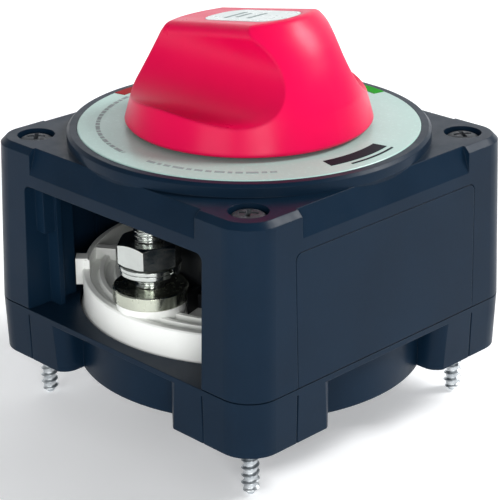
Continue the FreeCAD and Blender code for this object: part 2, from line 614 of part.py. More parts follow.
# ---------------------------------------------------------------- screws
def make_mounting_screw(name, sign_x, sign_y):
    """A long pan head self-tapping screw; its thread is a stack of rings, one per pitch."""
    head_edge = "screw_head_radius - 0.9"
    head_top = "screw_seat + screw_head_height"
    thread_bottom = "-screw_tip + 0.9"
    corners = [("0", head_top), ("0", "-screw_tip"), ("0.9", "-screw_tip"), ("screw_core", thread_bottom)]
    for turn in range(6):
        low = f"{thread_bottom} + {turn} * screw_pitch"
        corners += [("screw_core", f"{low} + 0.1"), ("screw_radius", f"{low} + 0.7"),
                    ("screw_radius", f"{low} + 0.95"), ("screw_core", f"{low} + 1.7")]
    corners += [("screw_core", "-1.5"), ("screw_radius", "-1.2"), ("screw_radius", "screw_seat"),
                ("screw_head_radius", "screw_seat"), ("screw_head_radius", "screw_seat + 1.2"),
                (head_edge, head_top)]
    corners.pop(3)
    turned = revolved(name + "Turned", corners, x=f"{sign_x} * screw_offset", y=f"{sign_y} * screw_offset")
    slots = []
    for turn in (45, 135):
        slot = doc.addObject("Part::Box", f"{name}Slot{turn}")
        slot.Length, slot.Width, slot.Height = 5.2, 1.1, 2
        middle = FreeCAD.Vector(2.6, 0.55, 0)
        spin = FreeCAD.Rotation(FreeCAD.Vector(0, 0, 1), turn)
        offset = spin.multVec(middle)
        place(slot, f"{sign_x} * screw_offset - {offset.x}", f"{sign_y} * screw_offset - {offset.y}",
              f"{head_top} - 1.4", turn)
        slots.append(slot)
    return cut(name, turned, fuse(name + "Cross", slots))


def make_cover_screw(name, sign):
    """A small pan head screw that holds the contact cover down."""
    return revolved(name, [("0", "carrier_deck - 3"), ("1.6", "carrier_deck - 3"), ("1.6", "chamber_rim"),
                           ("2.4", "chamber_rim"), ("2.4", "chamber_rim + 1.2"), ("1.6", "chamber_rim + 2"),
                           ("0", "chamber_rim + 2")], x=f"{sign} * 30.5")


# ---------------------------------------------------------------- contact cover
def make_contact_cover():
    """The black drum over the contact chamber, with fins round its foot and two screw lugs."""
    drum = revolved("Drum", [("drum_inner", "chamber_rim"), ("drum_outer", "chamber_rim"),
                             ("drum_outer", "drum_top - 1.2"), ("drum_outer - 1.2", "drum_top"),
                             ("shaft_clearance", "drum_top"), ("shaft_clearance", "drum_top - drum_roof"),
                             ("drum_inner", "drum_top - drum_roof")])
    fins = [spoke(f"Fin{angle}", "26.6", "fin_outer", "fin_width", "carrier_deck", "fin_top", angle)
            for angle in range(15, 360, 15) if abs(math.sin(math.radians(angle))) < 0.98 and angle != 180]
    blades = [spoke(f"Blade{angle}", "drum_outer - 1", "27.2", "fin_width",
                    "chamber_rim", "drum_top - 4", angle)
              for angle in range(15, 360, 15) if abs(math.sin(math.radians(angle))) < 0.9]
    lugs = [cylinder("Lug" + tag, "4", "carrier_deck", "chamber_rim", f"{sign} * 30.5")
            for sign, tag in ((-1, "Left"), (1, "Right"))]
    ties = [spoke("LugTie" + tag, "26.6", "30.5", "5", "carrier_deck", "chamber_rim", angle)
            for angle, tag in ((180, "Left"), (0, "Right"))]
    flange = cut("FootRing", cylinder("FootRingOuter", "28", "carrier_deck", "chamber_rim + 0.8"),
                 cylinder("FootRingInner", "26.6", "carrier_deck - 1", "chamber_rim"))
    inner = cylinder("FootRingBore", "drum_inner", "chamber_rim - 1", "chamber_rim + 3")
    foot = cut("FootFlange", flange, inner)
    anchors = [box(f"SpringAnchor{turn}{index}", ("cam_radius + 1.5", "23"), (f"{y} - 1", f"{y} + 1"),
                   ("rotor_top", "drum_top - 1"), turn)
               for turn in (0, 180) for index, y in enumerate((-9.5, 9.5))]
    holes = [cylinder("LugHole" + tag, "1.65", "carrier_deck - 1", "chamber_rim + 1", f"{sign} * 30.5")
             for sign, tag in ((-1, "Left"), (1, "Right"))]
    holes += [cylinder("PedestalRoom" + tag, "pad_radius + 0.3", "carrier_deck - 1", "nut_top",
                       "0", f"{sign} * stud_offset") for sign, tag in ((-1, "Front"), (1, "Rear"))]
    whole = fuse("ContactCoverSolid", [drum, foot] + fins + blades + lugs + ties + anchors)
    return cut("ContactCover", whole, fuse("ContactCoverHoles", holes))


def make_detent_spring(name, turn):
    """A leaf spring beside the cam, its nose resting in a notch."""
    blade = box(name + "Blade", ("cam_radius + 1", "cam_radius + 1.5"), ("-11.4", "11.4"),
                ("rotor_top + 0.6", "cam_top - 0.6"), turn)
    nose = cylinder(name + "Nose", "1.5", "rotor_top + 0.6", "cam_top - 0.6", x="cam_radius + 0.6")
    if turn:
        place(nose, "-(cam_radius + 0.6)", "0", "rotor_top + 0.6")
    return fuse(name, [blade, nose])


# ---------------------------------------------------------------- rotor group
def make_detent_cam():
    """The plastic cam ring on the rotor: four notches, a quarter turn apart."""
    ring = revolved("CamRing", [("shaft_radius", "rotor_top"), ("cam_radius", "rotor_top"),
                                ("cam_radius", "cam_top"), ("shaft_radius", "cam_top")])
    offset = "(cam_radius - notch_depth + notch_radius)"
    notches = []
    for turn in QUARTERS:
        x = f"{offset} * {round(math.cos(math.radians(turn)))}"
        y = f"{offset} * {round(math.sin(math.radians(turn)))}"
        notches.append(cylinder(f"Notch{turn}", "notch_radius", "rotor_top - 1", "cam_top + 1", x, y))
    return cut("DetentCam", ring, fuse("Notches", notches))


def make_rotor():
    """The black rotor: a hub with a spring pocket and two legs that drive the bridge."""
    hub = revolved("RotorHub", [("spring_pocket", "rotor_bottom"), ("rotor_radius", "rotor_bottom"),
                                ("rotor_radius", "rotor_top"), ("shaft_radius", "rotor_top"),
                                ("shaft_radius", "rotor_top - 3"), ("spring_pocket", "rotor_top - 3")])
    foot_top = f"{BRIDGE_BOTTOM} + bridge_thickness - 0.2"
    legs = []
    for sign in (-1, 1):
        for tag, inner, top in (("Foot", "bridge_width / 2 + 0.1", foot_top),
                                ("Leg", "spring_mean + spring_wire + 0.6", "rotor_bottom + 3")):
            legs.append(box(f"{tag}{'ab'[sign > 0]}", ("-leg_half", "leg_half"),
                            sorted_limits(sign, inner, "rotor_radius - 0.6"),
                            (f"{BRIDGE_BOTTOM} + 0.8", top)))
    bore = cylinder("RotorClear", "spring_pocket", "rotor_bottom", "rotor_top - 3")
    trimmed = cut("TrimmedLegs", fuse("Legs", legs), bore)
    return fuse("Rotor", [hub, trimmed])


def make_contact_bridge():
    """The moving copper bridge, square to the fixed contacts at OFF."""
    blank = box("BridgeBlank", ("-bridge_length / 2", "bridge_length / 2"),
                ("-bridge_width / 2", "bridge_width / 2"),
                (BRIDGE_BOTTOM, f"{BRIDGE_BOTTOM} + bridge_thickness"))
    hole = cylinder("BridgeHole", "shaft_radius - 0.95", "0", "rotor_top")
    return cut("ContactBridge", blank, hole)


def make_contact_spring():
    """The coil spring that presses the bridge down, with real turns."""
    bottom = f"{BRIDGE_BOTTOM} + bridge_thickness + spring_wire + 0.1"
    rise = f"(rotor_top - 3 - spring_wire - 0.1 - ({bottom}))"
    helix = doc.addObject("Part::Helix", "SpringPath")
    bind(helix, "Pitch", f"{rise} / spring_turns")
    bind(helix, "Height", rise)
    bind(helix, "Radius", "spring_mean")
    place(helix, z=bottom)
    wire = doc.addObject("Part::Circle", "SpringWire")
    wire.Placement.Rotation = FreeCAD.Rotation(FreeCAD.Vector(1, 0, 0), 90)
    bind(wire, "Radius", "spring_wire")
    bind(wire, "Placement.Base.x", "spring_mean")
    bind(wire, "Placement.Base.z", bottom)
    spring = doc.addObject("Part::Sweep", "ContactSpring")
    spring.Sections = [wire]
    spring.Spine = (helix, [])
    spring.Solid = True
    spring.Frenet = True
    return spring


def make_drive_shaft():
    """The stainless shaft: a lower pivot, the round journal and a square tenon for the knob."""
    turned = revolved("ShaftTurned", [
        ("0", "base_floor + 0.4"), ("pivot_radius", "base_floor + 0.4"),
        ("pivot_radius", "chamber_floor + 1"),
        ("5", "chamber_floor + 1"), ("5", "rotor_bottom - 1"), ("shaft_radius", "rotor_bottom - 1"),
        ("shaft_radius", "tenon_bottom"), ("0", "tenon_bottom")])
    tenon = box("Tenon", ("-tenon_width / 2", "tenon_width / 2"), ("-tenon_width / 2", "tenon_width / 2"),
                ("tenon_bottom - 1", "tenon_top"))
    hole = cylinder("TappedHole", "2.55", "tenon_top - 12", "tenon_top + 1")
    return cut("DriveShaft", fuse("ShaftSolid", [turned, tenon]), hole)


def crest_slab(name, drop, thickness):
    """A slab above the knob's sloping crest plane, starting some way below that plane."""
    lean = math.radians(size("crest_tilt"))
    half = EVERYTHING / 4
    slab = doc.addObject("Part::Box", name)
    slab.Length, slab.Width = 2 * half, 2 * half
    bind(slab, "Height", thickness)
    slab.Placement.Rotation = FreeCAD.Rotation(FreeCAD.Vector(0, 1, 0), -size("crest_tilt"))
    bind(slab, "Placement.Base.x", f"-{half} * {math.cos(lean)} + ({drop}) * {math.sin(lean)}")
    slab.Placement.Base.y = -half
    bind(slab, "Placement.Base.z", f"crest_height - {half} * {math.sin(lean)} - ({drop}) * {math.cos(lean)}")
    return slab


def badge_outline(name, margin):
    """The oblong outline of the badge, with bowed ends and rounded corners, as an upright solid."""
    half, end = f"(badge_width / 2 + {margin})", f"(badge_length / 2 + {margin})"
    waist = f"({end} - 5)"
    corners = [(f"badge_shift - {waist}", f"-{half}"), (f"badge_shift + {waist}", f"-{half}"),
               (f"badge_shift + {end}", "-2.5"), (f"badge_shift + {end}", "2.5"),
               (f"badge_shift + {waist}", half), (f"badge_shift - {waist}", half),
               (f"badge_shift - {end}", "2.5"), (f"badge_shift - {end}", "-2.5")]
    bows = {1: "6", 2: "14", 3: "6", 5: "6", 6: "14", 7: "6"}
    return padded(name, corners, "crest_height - 12", "crest_height + 9", bows)


def picked_edges(shape, wanted):
    """The numbers of the edges of a shape that satisfy a test."""
    return [index for index, edge in enumerate(shape.Edges, start=1) if wanted(edge)]


def rounded(name, source, edges, radius):
    """A copy of an object with some edges rounded."""
    shape = doc.addObject("Part::Fillet", name)
    shape.Base = source
    shape.Edges = [(index, size(radius), size(radius)) for index in edges]
    return shape


def on_crest(point):
    """Whether a point lies in the knob's sloping crest plane."""
    height = size("crest_height") + math.tan(math.radians(size("crest_tilt"))) * point.x
    return abs(point.z - height) < 0.01


def make_grip():
    """The turned dome, cut by the sloping crest and by a finger scoop along each side."""
    dome = revolved("Dome", [
        ("0", "knob_bottom"), ("knob_radius - 0.6", "knob_bottom"), ("knob_radius", "knob_bottom + 0.8"),
        ("knob_waist_radius", "knob_waist"), ("knob_shoulder_radius", "knob_shoulder"),
        ("knob_apex_radius", "knob_apex"), ("0", "knob_apex")], {3: "flank_bulge", 4: "crown_bulge"})
    scoops = [lying_cylinder("Scoop" + tag, "scoop_radius", EVERYTHING, f"{sign} * scoop_offset",
                             "scoop_height") for sign, tag in ((-1, "Front"), (1, "Rear"))]
    grip = cut("Grip", dome, fuse("GripTools", scoops + [crest_slab("Crest", "0", "30")]))
    doc.recompute()
    lips = picked_edges(grip.Shape, lambda edge: all(on_crest(v.Point) for v in edge.Vertexes))
    return rounded("RoundedGrip", grip, lips, "lip_rounding")


def make_knob():
    """The knob: the grip, hollow below, with a socket for the shaft and a seat for the badge."""
    outer = cylinder("KnobCavityOuter", "knob_cavity_radius", "knob_bottom - 1", "knob_cavity_top")
    inner = cylinder("KnobCavityInner", "hub_radius", "knob_bottom - 2", "knob_cavity_top + 1")
    cavity = cut("KnobCavity", outer, inner)
    across = ("-tenon_width / 2 - 0.05", "tenon_width / 2 + 0.05")
    socket = box("KnobSocket", across, across, ("knob_bottom - 1", "tenon_top + 0.2"))
    counterbore = cylinder("JournalSocket", "shaft_radius + 0.05", "knob_bottom - 1", "tenon_bottom + 0.2")
    screw_hole = cylinder("KnobScrewHole", "2.75", "tenon_top - 1", "knob_apex")
    screw_head = cylinder("KnobScrewHead", "4.9", "tenon_top + 2.5", "knob_apex")
    seat = common("BadgeSeat", [badge_outline("BadgeSeatOutline", 0.1),
                                crest_slab("BadgeSeatFloor", "badge_depth", "20")])
    tools = [cavity, socket, counterbore, screw_hole, screw_head, seat]
    return cut("Knob", make_grip(), fuse("KnobTools", tools))


def make_badge():
    """The white badge that covers the knob screw, in the plane of the crest."""
    return common("KnobBadge", [badge_outline("BadgeOutline", 0),
                                crest_slab("BadgeLayer", "badge_depth", "badge_depth + 0.05")])


def make_knob_screw():
    """The cap screw that ties the knob down on the shaft."""
    seat = "tenon_top + 2.5"
    turned = revolved("KnobScrewTurned", [
        ("0", "tenon_top - 10"), ("2.5", "tenon_top - 10"), ("2.5", seat), ("4.6", seat),
        ("4.6", f"{seat} + 1.8"), ("3.9", f"{seat} + 2.5"), ("0", f"{seat} + 2.5")])
    socket = doc.addObject("Part::Prism", "KnobScrewSocket")
    socket.Polygon = 6
    socket.Circumradius = 2.3
    socket.Height = 4
    place(socket, z=f"{seat} + 0.6")
    return cut("KnobScrew", turned, socket)


# ---------------------------------------------------------------- dial marks
def printed_arc(name, inner, outer, middle, span):
    """A thin printed arc on top of the dial."""
    return arc_wall(name, inner, outer, "dial_top", "dial_top + mark_thickness", middle, span)


def make_sector(name, middle):
    """A coloured sector printed on the rim of the dial."""
    return printed_arc(name, "mark_inner", "mark_outer", middle, "mark_span")


def make_dial_marks():
    """Plain printed marks on the dial: a bar and a fine line under it, with no lettering."""
    return compound("DialMarks", [
        printed_arc("BoldBar", "bar_mark_inner", "bar_mark_outer", -0.5, 29),
        printed_arc("FineLine", "line_mark_inner", "line_mark_outer", 3, 22)])


# ---------------------------------------------------------------- bush, seal and small rings
def make_shaft_bush():
    """The flanged bush in the deck that carries the shaft, counterbored for the seal."""
    return revolved("ShaftBush", [
        ("bush_bore", "bush_bottom"), ("bush_flange", "bush_bottom"), ("bush_flange", "boss_bottom"),
        ("bush_radius", "boss_bottom"), ("bush_radius", "dial_top"), ("seal_pocket", "dial_top"),
        ("seal_pocket", "seal_seat"), ("bush_bore", "seal_seat")])


def make_shaft_seal():
    """The rubber ring that keeps water out along the shaft."""
    seal = doc.addObject("Part::Torus", "ShaftSeal")
    bind(seal, "Radius1", "seal_mean")
    bind(seal, "Radius2", "seal_section")
    return place(seal, z="seal_centre")


def make_retaining_clip():
    """The open clip on the shaft under the bush."""
    bottom, top = "bush_bottom - 1.5", "bush_bottom - 0.2"
    ring = revolved("ClipRing", [("shaft_radius", bottom), ("shaft_radius + 3", bottom),
                                 ("shaft_radius + 3", top), ("shaft_radius", top)])
    mouth = box("ClipMouth", ("0", "shaft_radius + 5"), ("-3.5", "3.5"),
                ("bush_bottom - 3", "bush_bottom + 1"))
    return cut("RetainingClip", ring, mouth)


def make_thrust_washer():
    """The slip washer between knob and bush."""
    bottom = "dial_top + 0.1"
    return revolved("ThrustWasher", [("shaft_radius", bottom), ("hub_radius - 0.5", bottom),
                                     ("hub_radius - 0.5", "knob_bottom"), ("shaft_radius", "knob_bottom")])


def make_dial_plate():
    """The pale dial disc in its seat round the bush."""
    return revolved("DialPlate", [("bush_radius + 0.1", "dial_seat"), ("dial_radius", "dial_seat"),
                                  ("dial_radius", "dial_top - 0.2"), ("dial_radius - 0.2", "dial_top"),
                                  ("bush_radius + 0.1", "dial_top")])


def make_contact_tip(name, bottom, x="0", y="0"):
    """A silver contact button."""
    top = f"{bottom} + contact_height"
    return cylinder(name, "contact_radius", bottom, top, x, y)


# ---------------------------------------------------------------- assembly
def make_terminal(label, sign):
    """All the pieces of one terminal, from the stud up to the nut."""
    return {
        f"terminal_stud_{label}": make_stud("Stud" + label, sign),
        f"contact_bar_{label}": make_contact_bar("Bar" + label, sign),
        f"fixed_tip_{label}": make_contact_tip("FixedTip" + label, "bar_top", y=f"{sign} * contact_offset"),
        f"terminal_pad_{label}": washer("Pad" + label, sign, "stud_hole", "pad_radius",
                                        "pad_bottom", "pad_top", "0.3"),
        f"flat_washer_{label}": washer("Flat" + label, sign, "stud_hole", "collar_radius",
                                       "collar_bottom", "collar_top", "0.2"),
        f"spring_washer_{label}": make_spring_washer("Split" + label, sign),
        f"nut_{label}": make_nut("Nut" + label, sign),
    }


def make_all():
    """Every piece of the switch by the name of its node."""
    nodes = {"base": make_base(), "housing": make_housing(), "stud_carrier": make_stud_carrier(),
             "contact_cover": make_contact_cover()}
    nodes.update(make_terminal("front", -1))
    nodes.update(make_terminal("rear", 1))
    screws = [make_mounting_screw(f"MountingScrew{i}", x, y) for i, (x, y) in enumerate(CORNERS)]
    nodes["mounting_screws"] = compound("MountingScrews", screws)
    nodes["cover_screws"] = compound("CoverScrews", [make_cover_screw("CoverScrewLeft", -1),
                                                     make_cover_screw("CoverScrewRight", 1)])
    nodes["dial_plate"] = make_dial_plate()
    nodes["off_mark"] = make_sector("OffMark", 180)
    nodes["on_mark"] = make_sector("OnMark", 90)
    nodes["dial_marks"] = make_dial_marks()
    nodes["shaft_bush"] = make_shaft_bush()
    nodes["shaft_seal"] = make_shaft_seal()
    nodes["detent_spring_right"] = make_detent_spring("DetentRight", 0)
    nodes["detent_spring_left"] = make_detent_spring("DetentLeft", 180)
    nodes["knob"] = make_knob()
    nodes["knob_badge"] = make_badge()
    nodes["knob_screw"] = make_knob_screw()
    nodes["drive_shaft"] = make_drive_shaft()
    nodes["rotor"] = make_rotor()
    nodes["contact_bridge"] = make_contact_bridge()
    tips = [make_contact_tip("BridgeTip" + tag, f"{BRIDGE_BOTTOM} - contact_height",
                             x=f"{sign} * contact_offset") for sign, tag in ((-1, "Left"), (1, "Right"))]
    nodes["bridge_tips"] = compound("BridgeTips", tips)
    nodes["contact_spring"] = make_contact_spring()
    nodes["detent_cam"] = make_detent_cam()
    nodes["thrust_washer"] = make_thrust_washer()
    nodes["retaining_clip"] = make_retaining_clip()
    nodes["side_cover_right"] = make_side_cover("CoverRight", 90)
    nodes["side_cover_rear"] = make_side_cover("CoverRear", 180)
    nodes["side_cover_left"] = make_side_cover("CoverLeft", 270)
    return nodes


def problems_in(nodes):
    """What is wrong with the document or with the shape of any node."""
    found = [f"{item.Name}: {item.State}" for item in doc.Objects
             if any(word in item.State for word in ("Invalid", "Error"))]
    for name, item in nodes.items():
        if item.Shape.isNull() or not item.Shape.isValid() or not item.Shape.Solids:
            found.append(f"{name}: bad shape")
    return found


def export(nodes):
    """Writes each node as its own STEP file."""
    os.makedirs("parts", exist_ok=True)
    for name, item in nodes.items():
        item.Label = name
        item.Shape.exportStep(os.path.join("parts", name + ".step"))
        print(name, "solids", len(item.Shape.Solids), "volume", round(item.Shape.Volume, 1))


switch = make_all()
doc.recompute()
faults = problems_in(switch)
if faults:
    raise SystemExit("not written: " + "; ".join(faults))
export(switch)
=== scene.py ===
"""Looks for the battery switch: materials, threads, printed marks, light, floor and camera.

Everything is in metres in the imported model's own frame; MM turns a size in millimetres into metres.
"""
import itertools
import math
import bmesh
import bpy
from mathutils import Matrix, Vector


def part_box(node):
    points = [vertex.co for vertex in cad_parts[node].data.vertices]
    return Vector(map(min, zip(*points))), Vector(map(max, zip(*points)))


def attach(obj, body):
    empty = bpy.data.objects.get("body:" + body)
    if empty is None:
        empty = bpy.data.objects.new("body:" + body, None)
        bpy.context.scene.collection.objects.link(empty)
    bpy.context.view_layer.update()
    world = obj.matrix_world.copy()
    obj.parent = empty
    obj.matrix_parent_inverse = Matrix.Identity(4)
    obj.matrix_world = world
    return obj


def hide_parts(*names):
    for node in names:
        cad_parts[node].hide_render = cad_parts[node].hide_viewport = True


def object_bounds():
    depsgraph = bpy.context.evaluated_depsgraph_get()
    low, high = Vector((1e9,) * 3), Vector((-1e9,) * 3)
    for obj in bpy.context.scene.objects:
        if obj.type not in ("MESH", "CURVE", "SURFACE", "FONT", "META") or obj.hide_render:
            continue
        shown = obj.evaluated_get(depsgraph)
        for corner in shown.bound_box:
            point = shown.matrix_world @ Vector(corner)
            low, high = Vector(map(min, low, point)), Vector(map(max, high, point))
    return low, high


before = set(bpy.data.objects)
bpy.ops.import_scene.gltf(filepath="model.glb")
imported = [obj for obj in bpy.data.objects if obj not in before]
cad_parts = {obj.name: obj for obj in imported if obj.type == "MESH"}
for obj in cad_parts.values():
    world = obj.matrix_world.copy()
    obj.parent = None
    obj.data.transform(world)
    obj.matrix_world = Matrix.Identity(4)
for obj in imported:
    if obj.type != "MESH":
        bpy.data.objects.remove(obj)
MM = 0.001
CASE, TURNING = "case", "turning_group"
CAD_BOX = [list(corner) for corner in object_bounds()]


def box_in_mm(node):
    """The lowest and highest corners of a node at rest, in millimetres."""
    return [[value / MM for value in corner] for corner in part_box(node)]


# ---------------------------------------------------------------- node helpers
MIX_COLOUR_INPUTS, MIX_COLOUR_OUTPUT = (0, 6, 7), 2     # a Mix node has one set of sockets per data type


class Nodes:
    """A new material with its Principled shader, and short ways to add nodes to it."""

    def __init__(self, name):
        self.material = bpy.data.materials.new(name)
        self.material.use_nodes = True
        self.tree = self.material.node_tree
        self.shader = self.tree.nodes["Principled BSDF"]
        self.place = self.add("ShaderNodeTexCoord").outputs["Object"]

    def add(self, kind, **inputs):
        """A node with some of its inputs set by name: a value, or another node's output."""
        node = self.tree.nodes.new(kind)
        for name, value in inputs.items():
            self.feed(node.inputs[name.replace("_", " ")], value)
        return node

    def feed(self, socket, value):
        """Sets an input, or links another node's output to it."""
        if isinstance(value, bpy.types.NodeSocket):
            self.tree.links.new(value, socket)
        else:
            socket.default_value = value

    def stretched(self, scale):
        """Object coordinates stretched by a scale along each axis."""
        return self.add("ShaderNodeMapping", Vector=self.place, Scale=scale).outputs["Vector"]

    def noise(self, scale, detail, rough, place=None):
        """A cloudy value round 0.5, finer as its scale grows."""
        node = self.add("ShaderNodeTexNoise", Vector=place or self.place, Scale=scale, Detail=detail,
                        Roughness=rough)
        return node.outputs["Fac"]

    def spread(self, value, low, high, start=0.3, end=0.7):
        """A value between start and end, moved to between low and high."""
        node = self.add("ShaderNodeMapRange", Value=value, From_Min=start, From_Max=end, To_Min=low,
                        To_Max=high)
        return node.outputs["Result"]

    def mixed(self, factor, first, second):
        """One colour turning into another as the factor goes from 0 to 1."""
        node = self.tree.nodes.new("ShaderNodeMix")
        node.data_type = "RGBA"
        for socket, value in zip(MIX_COLOUR_INPUTS, (factor, first, second)):
            self.feed(node.inputs[socket], value)
        return node.outputs[MIX_COLOUR_OUTPUT]

    def calculated(self, operation, first, second):
        """The result of a sum on two values."""
        node = self.tree.nodes.new("ShaderNodeMath")
        node.operation = operation
        self.feed(node.inputs[0], first)
        self.feed(node.inputs[1], second)
        return node.outputs[0]

    def part_of_place(self, axis):
        """One coordinate of the surface point, in metres."""
        split = self.add("ShaderNodeSeparateXYZ", Vector=self.place)
        return split.outputs[axis]

    def edge_softness(self, radius):
        """A normal that rounds off hard edges by a small radius."""
        node = self.add("ShaderNodeBevel", Radius=radius)
        node.samples = 4
        return node.outputs["Normal"]

    def relief(self, height, strength, distance, normal=None):
        """A normal bent by a fine height pattern."""
        node = self.add("ShaderNodeBump", Height=height, Strength=strength, Distance=distance)
        if normal is not None:
            self.feed(node.inputs["Normal"], normal)
        return node.outputs["Normal"]

    def set(self, **inputs):
        """Sets the shader's own inputs."""
        for name, value in inputs.items():
            self.feed(self.shader.inputs[name.replace("_", " ")], value)
        return self.material


def shade(colour, factor):
    """A linear colour made lighter or darker, with its alpha."""
    return tuple(min(1.0, part * factor) for part in colour[:3]) + (1.0,)


def colour_of(red, green, blue):
    """A linear colour with alpha, from the 0 to 255 values a screen shows."""
    def linear(value):
        value = value / 255
        return value / 12.92 if value <= 0.04045 else ((value + 0.055) / 1.055) ** 2.4
    return (linear(red), linear(green), linear(blue), 1.0)


# ---------------------------------------------------------------- materials
HEAD_SHADE_ABOVE = 50.0            # millimetres; above this height the screws are coloured dark as painted shade, below it they are bright


def moulded_plastic(name, colour, rough, grain, edge, coat=0.0, tone=0.12, gloss=0.5):
    """Injection-moulded plastic: fine spark-eroded grain, faint flow marks and softened edges."""
    nodes = Nodes(name)
    flow = nodes.noise(scale=38.0, detail=3.0, rough=0.55)
    speck = nodes.noise(scale=900.0, detail=2.0, rough=0.6)
    base = nodes.mixed(nodes.spread(flow, 0.0, 1.0), shade(colour, 1 - tone), shade(colour, 1 + tone))
    tinted = nodes.mixed(nodes.spread(speck, 0.0, 0.35, start=0.55, end=0.75), base, shade(colour, 1.35))
    scuff = nodes.noise(scale=160.0, detail=4.0, rough=0.6)
    roughness = nodes.spread(scuff, rough - 0.05, rough + 0.07)
    texture = nodes.noise(scale=2600.0, detail=2.0, rough=0.55)
    normal = nodes.relief(texture, grain, distance=0.02 * MM, normal=nodes.edge_softness(edge * MM))
    return nodes.set(Base_Color=tinted, Roughness=roughness, Normal=normal, Coat_Weight=coat,
                     Coat_Roughness=0.12, Specular_IOR_Level=gloss)


def knob_plastic():
    """The knob's warm red, slightly translucent plastic with a soft gloss."""
    nodes = Nodes("knob_red")
    colour = colour_of(228, 7, 76)
    flow = nodes.noise(scale=30.0, detail=3.0, rough=0.5)
    base = nodes.mixed(nodes.spread(flow, 0.0, 1.0), shade(colour, 0.93), shade(colour, 1.05))
    roughness = nodes.spread(nodes.noise(scale=120.0, detail=4.0, rough=0.6), 0.27, 0.37)
    texture = nodes.noise(scale=2200.0, detail=2.0, rough=0.5)
    normal = nodes.relief(texture, strength=0.10, distance=0.015 * MM,
                          normal=nodes.edge_softness(1.2 * MM))
    return nodes.set(Base_Color=base, Roughness=roughness, Normal=normal, Subsurface_Weight=0.05,
                     Subsurface_Radius=(1.0, 0.15, 0.12), Subsurface_Scale=1.2 * MM, Coat_Weight=0.03,
                     Coat_Roughness=0.2, Specular_IOR_Level=0.12)


def turned_metal(name, colour, rough, lines=(400.0, 400.0, 2500.0), scratch=0.25):
    """Plated or machined metal with fine marks of its making and slightly uneven gloss."""
    nodes = Nodes(name)
    marks = nodes.noise(scale=1.0, detail=3.0, rough=0.6, place=nodes.stretched(lines))
    stain = nodes.noise(scale=140.0, detail=4.0, rough=0.6)
    base = nodes.mixed(nodes.spread(stain, 0.0, 1.0), shade(colour, 0.82), colour)
    roughness = nodes.calculated("ADD", nodes.spread(marks, rough - 0.06, rough + 0.06),
                                 nodes.spread(stain, -0.03, 0.05))
    normal = nodes.relief(marks, scratch, distance=0.01 * MM, normal=nodes.edge_softness(0.15 * MM))
    return nodes.set(Base_Color=base, Metallic=1.0, Roughness=roughness, Normal=normal)


def screw_metal():
    """Bright plated steel whose upper end, the pan head, is given a dark colour that stands in for shade
    and dark reflection.
    """
    nodes = Nodes("screw_steel")
    marks = nodes.noise(scale=1.0, detail=3.0, rough=0.6, place=nodes.stretched((500.0, 500.0, 1800.0)))
    unevenness = nodes.noise(scale=420.0, detail=3.0, rough=0.6)
    height = nodes.part_of_place("Z")
    # Painted shade: above this height the pan heads take a dark, slightly uneven colour in place of the
    # shade and dark reflection on their up-facing tops.
    head_shade_mask = nodes.calculated("GREATER_THAN", height, HEAD_SHADE_ABOVE * MM)
    head_shade = nodes.calculated("MULTIPLY", head_shade_mask, nodes.spread(unevenness, 0.75, 1.0, start=0.3, end=0.45))
    steel = nodes.mixed(nodes.spread(unevenness, 0.0, 1.0), colour_of(176, 182, 186), colour_of(222, 226, 228))
    base = nodes.mixed(head_shade, steel, colour_of(31, 38, 45))
    matt = nodes.calculated("MULTIPLY", head_shade, 0.12)
    roughness = nodes.calculated("ADD", nodes.spread(marks, 0.34, 0.46), matt)
    normal = nodes.relief(marks, strength=0.25, distance=0.01 * MM,
                          normal=nodes.edge_softness(0.12 * MM))
    metal = nodes.calculated("SUBTRACT", 1.0, head_shade)
    return nodes.set(Base_Color=base, Metallic=metal, Roughness=roughness, Normal=normal)


def printed_ink(name, colour):
    """Pad-printed ink: almost flat, with tiny pinholes and uneven cover."""
    nodes = Nodes(name)
    cover = nodes.noise(scale=1400.0, detail=3.0, rough=0.6)
    base = nodes.mixed(nodes.spread(cover, 0.0, 1.0, start=0.25, end=0.6), shade(colour, 1.25), colour)
    normal = nodes.relief(cover, strength=0.15, distance=0.01 * MM)
    return nodes.set(Base_Color=base, Roughness=nodes.spread(cover, 0.68, 0.58), Normal=normal,
                     Specular_IOR_Level=0.12)


def rubber():
    """Black nitrile rubber."""
    nodes = Nodes("rubber")
    bloom = nodes.noise(scale=500.0, detail=3.0, rough=0.6)
    base = nodes.mixed(nodes.spread(bloom, 0.0, 1.0), colour_of(22, 22, 23), colour_of(40, 40, 41))
    return nodes.set(Base_Color=base, Roughness=nodes.spread(bloom, 0.55, 0.75),
                     Normal=nodes.relief(bloom, strength=0.2, distance=0.02 * MM))


def floor_material():
    """A plain pale sweep."""
    nodes = Nodes("studio_floor")
    grain = nodes.noise(scale=60.0, detail=2.0, rough=0.5)
    base = nodes.mixed(nodes.spread(grain, 0.0, 1.0), colour_of(243, 244, 245), colour_of(248, 249, 250))
    return nodes.set(Base_Color=base, Roughness=0.85, Emission_Color=(1.0, 1.0, 1.0, 1.0),
                     Emission_Strength=0.26)


